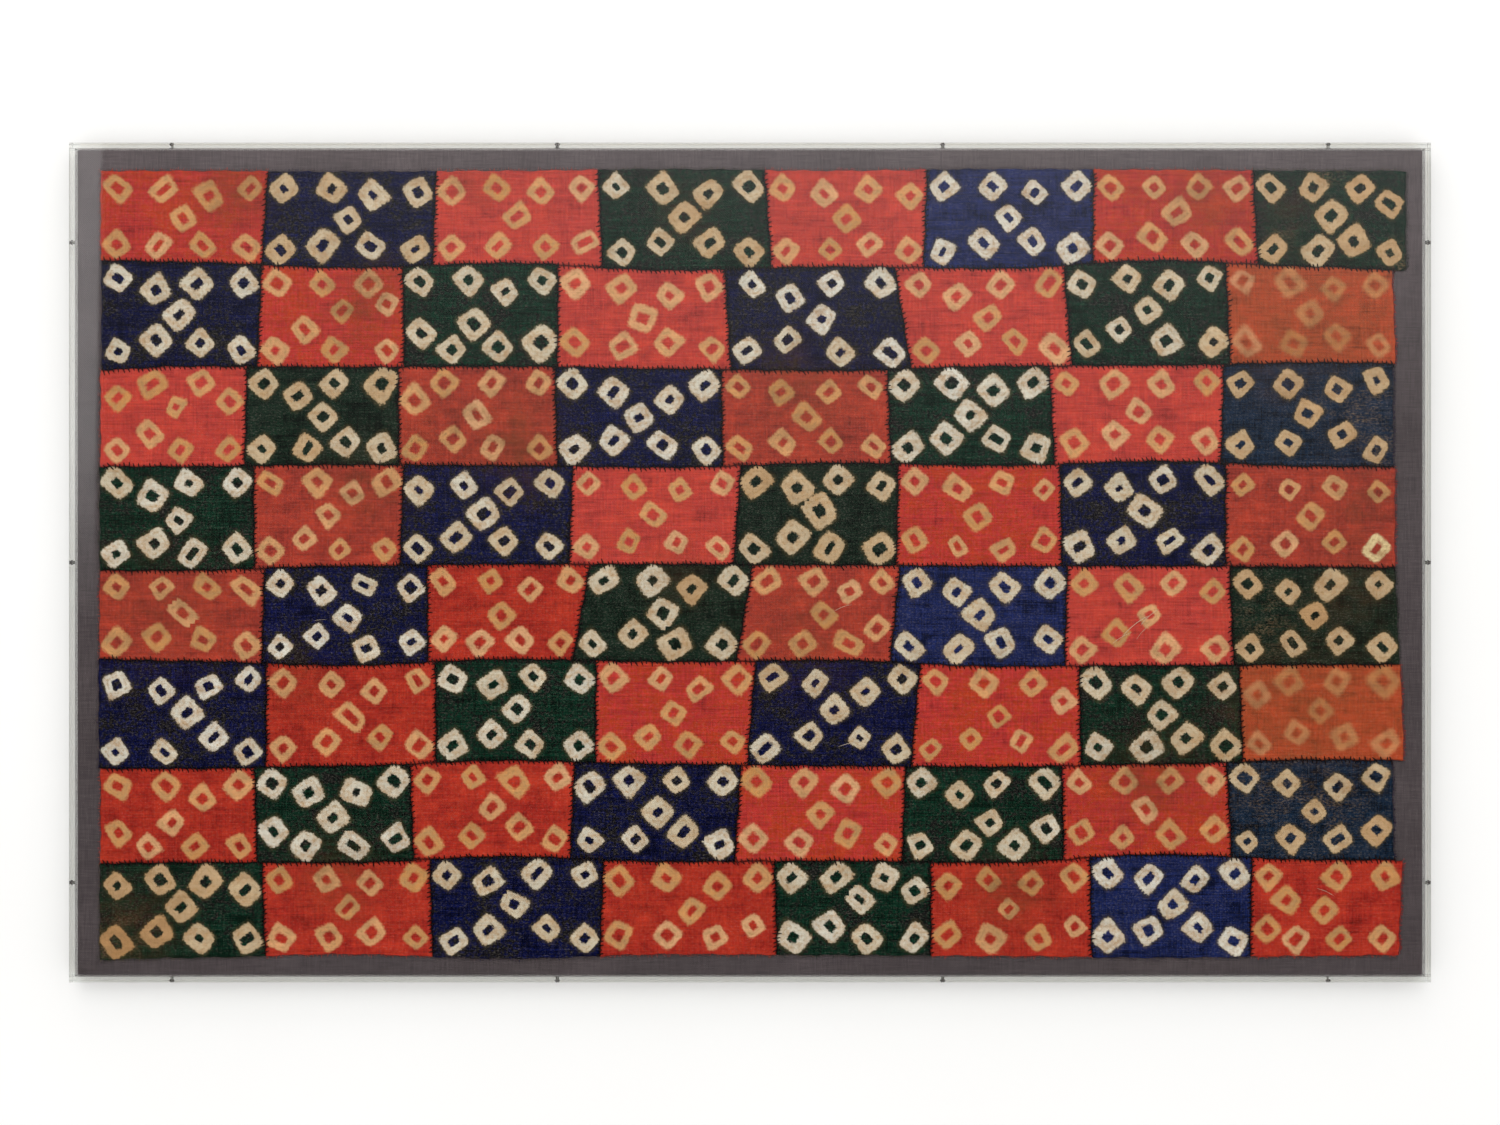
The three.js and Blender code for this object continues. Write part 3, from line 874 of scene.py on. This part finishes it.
def makeStitches():
    s = stitches
    upright, level = [], []
    for row in range(rowCount):
        for seam in range(1, patchCount):
            points = [patchPoint(row, seam, 0.0, down) for down in np.linspace(*s["uprightWalk"])]
            beside = {dyeOf(row, seam - 1), dyeOf(row, seam)}
            upright += stitchesAlong(points, lambda x: beside)
    for line in range(1, rowCount):
        step = s["levelStep"]
        xs = np.arange(lineStations[0] + step, lineStations[-1] - step, step)
        above, below = seamColumns[line - 1]["bottom"][1:-1], seamColumns[line]["top"][1:-1]
        level += stitchesAlong(list(zip(xs, lineY(line, xs))), lambda x: {
            dyeOf(line - 1, int(np.searchsorted(above, x))), dyeOf(line, int(np.searchsorted(below, x)))})
    for name, stamps in (("patchStitches", upright), ("rowStitches", level)):
        template = threadLength(s["length"], s["radius"], sides=5, cuts=3, taper=s["taper"], arch=s["arch"])
        showPiece(name, joinCopies(name, template, stamps), threadMaterial, "patchwork_cloth")
    print("stitches made:", len(upright) + len(level))


makeStitches()


# Frayed ends of thread round the cloth's edge, thickest down the right side, and a few loose threads.
fray = {
    "length": 4.4,
    "radius": 0.28,
    "pitch": 2.0,
    "rightPitch": 0.9,
    "spread": 38,
    "sizes": (0.4, 1.15),
    "sunk": 0.6,             # how far under the cloth's middle height an end starts
    "outside": 0.35,         # how far its middle stands past the edge, of its length
    "wornShare": 0.6,
    "patchHeight": 108,      # an even one, from which the ends' steps down a patch come
    "endGap": 0.005,
    "worn": "#8A6A4C",
    "rightWorn": "#2E1512",
    "looseLength": 30.0,
    "looseRadius": 0.24,
    "looseBend": 1.6,
    "looseColour": "#E2CDB4",
    # row, place in the row, across, down, turn in degrees and size of each loose thread
    "loose": [(5, 7, 0.42, 0.60, 38, 1.2), (5, 7, 0.50, 0.52, 42, 0.9), (5, 7, 0.34, 0.72, 30, 0.8),
              (5, 7, 0.46, 0.68, 48, 0.6), (8, 8, 0.50, 0.34, -25, 0.7), (5, 2, 0.35, 0.55, 5, 0.5),
              (5, 5, 0.65, 0.45, 20, 0.7), (6, 5, 0.62, 0.80, 12, 0.9), (2, 1, 0.45, 0.40, -10, 0.4)],
}


def makeFray():
    f = fray
    stamps = []

    def frayAt(x, y, outward, dye, worn):
        turn = outward + math.radians(random.gauss(0, f["spread"]))
        size = random.uniform(*f["sizes"])
        place = (Matrix.Translation((x, y, clothHeight(x, y) - f["sunk"])) @ Matrix.Rotation(turn, 4, "Z")
                 @ Matrix.Diagonal((size, random.choice((-1, 1)) * size, size, 1))
                 @ Matrix.Translation((f["outside"] * f["length"], 0, 0)))
        share = f["wornShare"] * random.random()
        stamps.append((place, blend(linearColour(dyes[dye]["ground"]), linearColour(worn), share)))

    for row in range(rowCount):
        for seam, outward, pitch, worn in ((0, math.pi, f["pitch"], f["worn"]),
                                           (patchCount, 0, f["rightPitch"], f["rightWorn"])):
            patch = min(seam, patchCount - 1)
            for down in np.arange(f["endGap"], 1 - f["endGap"], pitch / f["patchHeight"]):
                x, y = patchPoint(row, patch, float(seam > 0), down)
                frayAt(float(x), float(y), outward, dyeOf(row, patch), worn)
    for line, side, outward in ((0, "top", math.pi / 2), (rowCount, "bottom", -math.pi / 2)):
        row = min(line, rowCount - 1)
        edge = seamColumns[row][side]
        for x in np.arange(edge[0] + 1.0, edge[-1] - 1.0, f["pitch"]):
            patch = int(np.searchsorted(edge[1:-1], x))
            frayAt(float(x), float(lineY(line, x)), outward, dyeOf(row, patch), f["worn"])
    template = threadLength(f["length"], f["radius"], sides=3, cuts=1, taper=0.7, arch=0.25, bend=0.3)
    showPiece("frayedEdge", joinCopies("frayedEdge", template, stamps), threadMaterial,
              "patchwork_cloth")

    loose = []
    for row, patch, across, down, turn, size in f["loose"]:
        x, y = (float(value) for value in patchPoint(row - 1, patch - 1, across, down))
        place = (Matrix.Translation((x, y, clothHeight(x, y) + f["looseRadius"]))
                 @ Matrix.Rotation(math.radians(turn), 4, "Z") @ Matrix.Diagonal((size, size, 1, 1)))
        loose.append((place, linearColour(f["looseColour"])))
    template = threadLength(f["looseLength"], f["looseRadius"], sides=5, cuts=11, taper=0.6, arch=0.1,
                            bend=f["looseBend"])
    showPiece("looseThreads", joinCopies("looseThreads", template, loose), threadMaterial,
              "patchwork_cloth")
    print("frayed ends made:", len(stamps))


makeFray()


# Mount cloth: a grey close-woven cotton drawn tight over the board, matt, with a fine even grid of threads.
mount = {
    "thickness": 0.9,
    "foldRadius": 1.2,
    "foldSteps": 4,
    "faceInset": 40,
    "threadPitch": 2.4,      # really about 0.5 mm; drawn coarser, or a render can't show the threads
    "grey": "#574E50",
    "darkGrey": "#453E40",
    "paintedTopLight": 1.4,         # painted light: how much paler it is drawn towards its top, where more light falls
    "fadeStart": 0.4,        # the share of the way up from the middle where that starts
    "noises": {"weft": (24, 1.3, 24), "warp": (1.3, 24, 24), "cloud": (60, 60, 60)},    # millimetres
    "slubSpan": (0.7, 1.3),
    "cloudSpan": (0.3, 0.7),
    "cloudShades": (0.9, 1.1),
    "bumpStrength": 0.3,
    "bumpDepth": 0.25,
}


def mountCotton():
    m = mount
    material, add, place = newMaterial("grey close-woven cotton")
    threads = []
    for size in m["noises"].values():
        scaled = add("Mapping", {"Vector": place, "Scale": [1 / (side * mm) for side in size]})
        threads.append(add("TexNoise", {"Vector": scaled, "Scale": 1.0, "Detail": 2.0}))
    weft, warp, cloudy = threads
    slub = add("Math", [weft, warp], operation="ADD")
    share = add("MapRange", {"Value": slub, fromSpan: m["slubSpan"]})
    tone = add("Mix", {0: share, 6: m["darkGrey"], 7: m["grey"]}, data_type="RGBA")
    cloud = add("MapRange", {"Value": cloudy, fromSpan: m["cloudSpan"], toSpan: m["cloudShades"]})
    colour = add("VectorMath", {0: tone, 3: cloud}, operation="SCALE")
    axes = add("SeparateXYZ", [place])
    # painted light: the cotton is drawn paler towards its top
    top = nodeBox("mount_cloth")[1].y
    paintedLight = add("MapRange", {"Value": axes.outputs["Y"], fromSpan: (m["fadeStart"] * top, top),
                             toSpan: (1.0, m["paintedTopLight"])})
    colour = add("VectorMath", {0: colour, 3: paintedLight}, operation="SCALE")
    waves = []
    for axis in ("X", "Y"):
        turned = add("Math", [axes.outputs[axis], 2 * math.pi / (m["threadPitch"] * mm)],
                     operation="MULTIPLY")
        waves.append(add("Math", [turned], operation="SINE"))
    crowns = add("Math", [waves[0], waves[1], slub], operation="MULTIPLY_ADD")
    bump = add("Bump", {"Height": crowns, "Strength": m["bumpStrength"], "Distance": m["bumpDepth"] * mm})
    shader = add("BsdfPrincipled", {"Base Color": colour, "Roughness": 0.95, "Specular IOR Level": 0.1,
                                    "Normal": bump})
    add("OutputMaterial", {"Surface": shader})
    return material


def makeMountCloth():
    m = mount
    low, high = nodeBox("mount_cloth")
    size = high - low
    bm = bmesh.new()
    middle = Matrix.Translation((low + high) / 2)
    bmesh.ops.create_cube(bm, size=1, matrix=middle @ Matrix.Diagonal((*size, 1)))
    bmesh.ops.delete(bm, geom=[face for face in bm.faces if face.normal.z < -0.5], context="FACES_ONLY")
    folds = [edge for edge in bm.edges if len(edge.link_faces) == 2]
    bmesh.ops.bevel(bm, geom=folds, offset=m["foldRadius"] * mm, offset_type="OFFSET",
                    segments=m["foldSteps"], profile=0.5, affect="EDGES", material=-1)
    face = max(bm.faces, key=lambda f: f.calc_area())
    bmesh.ops.inset_region(bm, faces=[face], thickness=m["faceInset"] * mm)
    mesh = meshFrom(bm, "mountCloth")
    mesh.shade_smooth()
    piece = showPiece("mountCloth", mesh, mountCotton(), "mount_cloth")
    thick = piece.modifiers.new("thickness", "SOLIDIFY")
    thick.thickness = m["thickness"] * mm
    thick.offset = -1
    print("mount cloth made")


makeMountCloth()


# Clear box: cast acrylic sheet, clear through its faces, and pale where the front sheet's edges were sawn.
acrylic = {
    "tint": "#FDFEFC",
    "secondTint": "#FFFFFE",
    "ior": 1.49,
    "roughness": 0.012,
    "haze": 90,               # millimetres
    "shadowTint": (0.985, 0.99, 0.985, 1),
    "flat": 1,                # degrees: faces that meet flatter than this are one
    "sharp": 60,              # and edges sharper than this are broken
    "edgeBevel": 0.6,
    "sheets": {"front_sheet": "frontSheet", "wall_top": "topWall", "wall_bottom": "bottomWall",
               "wall_left": "leftWall", "wall_right": "rightWall"},
    "sawnFacing": 0.1,        # the front sheet's faces that look no further up or down are sawn
    "sawnWhite": "#F6F6F1",
    "sawnGrey": "#E4E6E1",
    "sawMarks": 4,
    "sawnRoughness": (0.4, 0.7),
}


def castAcrylic():
    a = acrylic
    material, add, place = newMaterial("polished cast acrylic sheet")
    haze = add("TexNoise", {"Vector": place, "Scale": 1 / (a["haze"] * mm), "Detail": 3.0})
    tint = add("Mix", {0: haze, 6: a["tint"], 7: a["secondTint"]}, data_type="RGBA")
    glass = add("BsdfPrincipled", {"Base Color": tint, "Roughness": a["roughness"], "IOR": a["ior"],
                                   "Transmission Weight": 1.0})
    # lamps and soft light pass straight through it
    clear = add("BsdfTransparent", {"Color": a["shadowTint"]})
    path = add("LightPath")
    lit = add("Math", [path.outputs["Is Shadow Ray"], path.outputs["Is Diffuse Ray"]], operation="MAXIMUM")
    either = add("MixShader", [lit, glass, clear])
    add("OutputMaterial", {"Surface": either})
    return material


def sawnAcrylic():
    # the saw leaves an edge matt and frosted, drawn as an opaque pale white; the glow of the light inside the
    # sheet is painted into that white
    a = acrylic
    material, add, place = newMaterial("sawn cast acrylic edge")
    scratches = add("TexNoise", {"Vector": place, "Scale": 1 / (a["sawMarks"] * mm), "Detail": 3.0})
    colour = add("Mix", {0: scratches, 6: a["sawnWhite"], 7: a["sawnGrey"]}, data_type="RGBA")
    rough = add("MapRange", {"Value": scratches, toSpan: a["sawnRoughness"]})
    shader = add("BsdfPrincipled", {"Base Color": colour, "Roughness": rough, "IOR": a["ior"]})
    add("OutputMaterial", {"Surface": shader})
    return material


def makeClearBox():
    a = acrylic
    material, sawn = castAcrylic(), sawnAcrylic()
    for node, name in a["sheets"].items():
        # the sheet with its faces joined up and its sharp edges broken by a small polished bevel
        bm = bmesh.new()
        bm.from_mesh(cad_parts[node].data)
        bmesh.ops.remove_doubles(bm, verts=bm.verts, dist=mergeWithin * mm)
        bmesh.ops.dissolve_limit(bm, angle_limit=math.radians(a["flat"]), verts=bm.verts, edges=bm.edges)
        sharp = [edge for edge in bm.edges
                 if len(edge.link_faces) == 2 and edge.calc_face_angle() > math.radians(a["sharp"])]
        bmesh.ops.bevel(bm, geom=sharp, offset=a["edgeBevel"] * mm, offset_type="OFFSET", segments=2,
                        profile=0.5, affect="EDGES", clamp_overlap=True, material=-1)
        piece = showPiece(name, meshFrom(bm, name), material, node)
        if node == "front_sheet":
            piece.data.materials.append(sawn)
            for face in piece.data.polygons:
                face.material_index = int(abs(face.normal.z) < a["sawnFacing"])
    print("clear box made")


makeClearBox()


# Backing board: birch plywood, planed and bare, with pale straight grain.
plywood = {
    "grain": (260, 9, 9),     # millimetres along the board, across and through it
    "fleck": (14, 0.9, 0.9),
    "distortion": 0.4,
    "pale": "#DFC7A0",
    "tan": "#C9A87C",
    "brown": "#9C7A50",
    "fleckSpan": (0.55, 0.8),
    "fleckShare": 0.4,
    "bump": 0.2,              # its strength, and its depth in millimetres
}


def birchPlywood():
    material, add, place = newMaterial("bare birch plywood")
    p = plywood
    long, short = (add("Mapping", {"Vector": place, "Scale": [1 / (side * mm) for side in p[name]]})
                   for name in ("grain", "fleck"))
    grain = add("TexNoise", {"Vector": long, "Scale": 1.0, "Detail": 5.0, "Distortion": p["distortion"]})
    fleck = add("TexNoise", {"Vector": short, "Scale": 1.0, "Detail": 2.0})
    tone = add("Mix", {0: grain, 6: p["tan"], 7: p["pale"]}, data_type="RGBA")
    share = add("MapRange", {"Value": fleck, fromSpan: p["fleckSpan"], "To Max": p["fleckShare"]})
    colour = add("Mix", {0: share, 6: tone, 7: p["brown"]}, data_type="RGBA")
    bump = add("Bump", {"Height": fleck, "Strength": p["bump"], "Distance": p["bump"] * mm})
    shader = add("BsdfPrincipled", {"Base Color": colour, "Roughness": 0.6, "Normal": bump})
    add("OutputMaterial", {"Surface": shader})
    return material


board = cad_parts["backing_board"]
board.data.materials.clear()
board.data.materials.append(birchPlywood())


# Screws: zinc-plated steel, countersunk, with a cross recess and a turned thread.
screwShape = {
    "headRadius": 2.8,
    "headDepth": 1.7,
    "shankRadius": 1.5,
    "threadDepth": 0.35,
    "threadPitch": 1.3,
    "length": 25.0,
    "tip": 3.0,
    "tipShare": 0.6,          # how far up it the thread's root ends
    "sides": 20,
    "recessLong": 3.0,
    "recessWide": 0.8,
    "recessDepth": 1.1,
    "zinc": "#C4C2BC",
    "paleZinc": "#E2E0DA",
    "wear": 1.5,
    "roughness": (0.45, 0.7),
}


def zincPlatedSteel():
    s = screwShape
    material, add, place = newMaterial("zinc-plated steel")
    wear = add("TexNoise", {"Vector": place, "Scale": 1 / (s["wear"] * mm), "Detail": 3.0})
    rough = add("MapRange", {"Value": wear, toSpan: s["roughness"]})
    colour = add("Mix", {0: wear, 6: s["zinc"], 7: s["paleZinc"]}, data_type="RGBA")
    shader = add("BsdfPrincipled", {"Base Color": colour, "Metallic": 1.0, "Roughness": rough})
    add("OutputMaterial", {"Surface": shader})
    return material


def screwMesh():
    # the head's face is at 0 and faces +X, and the point is on -X
    s = screwShape
    profile = [(0.0, 0.0), (0.0, s["headRadius"]), (-s["headDepth"], s["shankRadius"])]
    turns = int((s["length"] - s["headDepth"] - s["tip"]) / s["threadPitch"])
    for turn in range(turns):
        root = -s["headDepth"] - (turn + 0.5) * s["threadPitch"]
        profile.append((root, s["shankRadius"] - s["threadDepth"]))
        profile.append((root - s["threadPitch"] / 2, s["shankRadius"]))
    profile.append((-s["length"] + s["tip"] * s["tipShare"], s["shankRadius"] - s["threadDepth"]))
    profile.append((-s["length"], 0.0))
    bm = bmesh.new()
    points = [bm.verts.new((x, 0, radius)) for x, radius in profile]
    lines = [bm.edges.new(pair) for pair in zip(points, points[1:])]
    bmesh.ops.spin(bm, geom=points + lines, cent=(0, 0, 0), axis=(1, 0, 0), angle=2 * math.pi,
                   steps=s["sides"], use_merge=True)
    bmesh.ops.remove_doubles(bm, verts=bm.verts, dist=mergeWithin)
    bmesh.ops.recalc_face_normals(bm, faces=bm.faces)
    blank = bpy.data.objects.new("screwBlank", meshFrom(bm, "screwBlank"))
    bpy.context.scene.collection.objects.link(blank)
    cutters = []
    for turn in (0, math.pi / 2):
        bm = bmesh.new()
        bmesh.ops.create_cube(bm, size=1, matrix=Matrix.Rotation(turn, 4, "X") @ Matrix.Diagonal(
            (2 * s["recessDepth"], s["recessLong"], s["recessWide"], 1)))
        cutters.append(bpy.data.objects.new("recess", meshFrom(bm, "recess")))
        bpy.context.scene.collection.objects.link(cutters[-1])
        cut = blank.modifiers.new("recess", "BOOLEAN")
        cut.operation = "DIFFERENCE"
        cut.solver = "EXACT"
        cut.object = cutters[-1]
    graph = bpy.context.evaluated_depsgraph_get()
    graph.update()
    made = bpy.data.meshes.new_from_object(blank.evaluated_get(graph))
    for spare in [blank, *cutters]:
        bpy.data.objects.remove(spare)
    return made


def makeScrews():
    material = zincPlatedSteel()
    template = screwMesh()
    names = sorted(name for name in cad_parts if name.startswith("screw_"))
    for name in names:
        low, high = nodeBox(name)
        middle = (low + high) / 2
        _, side, number = name.split("_")
        outward = {"right": (1, 0), "top": (0, 1), "left": (-1, 0), "bottom": (0, -1)}[side]
        facing = math.atan2(outward[1], outward[0])
        head = middle + Vector((*outward, 0)) * screwShape["length"] / 2 * mm
        mesh = template.copy()
        mesh.transform(Matrix.Translation(head) @ Matrix.Rotation(facing, 4, "Z")
                       @ Matrix.Rotation(random.uniform(0, math.pi), 4, "X") @ Matrix.Scale(mm, 4))
        showPiece(side + "Screw" + number, mesh, material, name)
    bpy.data.meshes.remove(template)
    print("screws made:", len(names))


makeScrews()

bpy.context.view_layer.update()
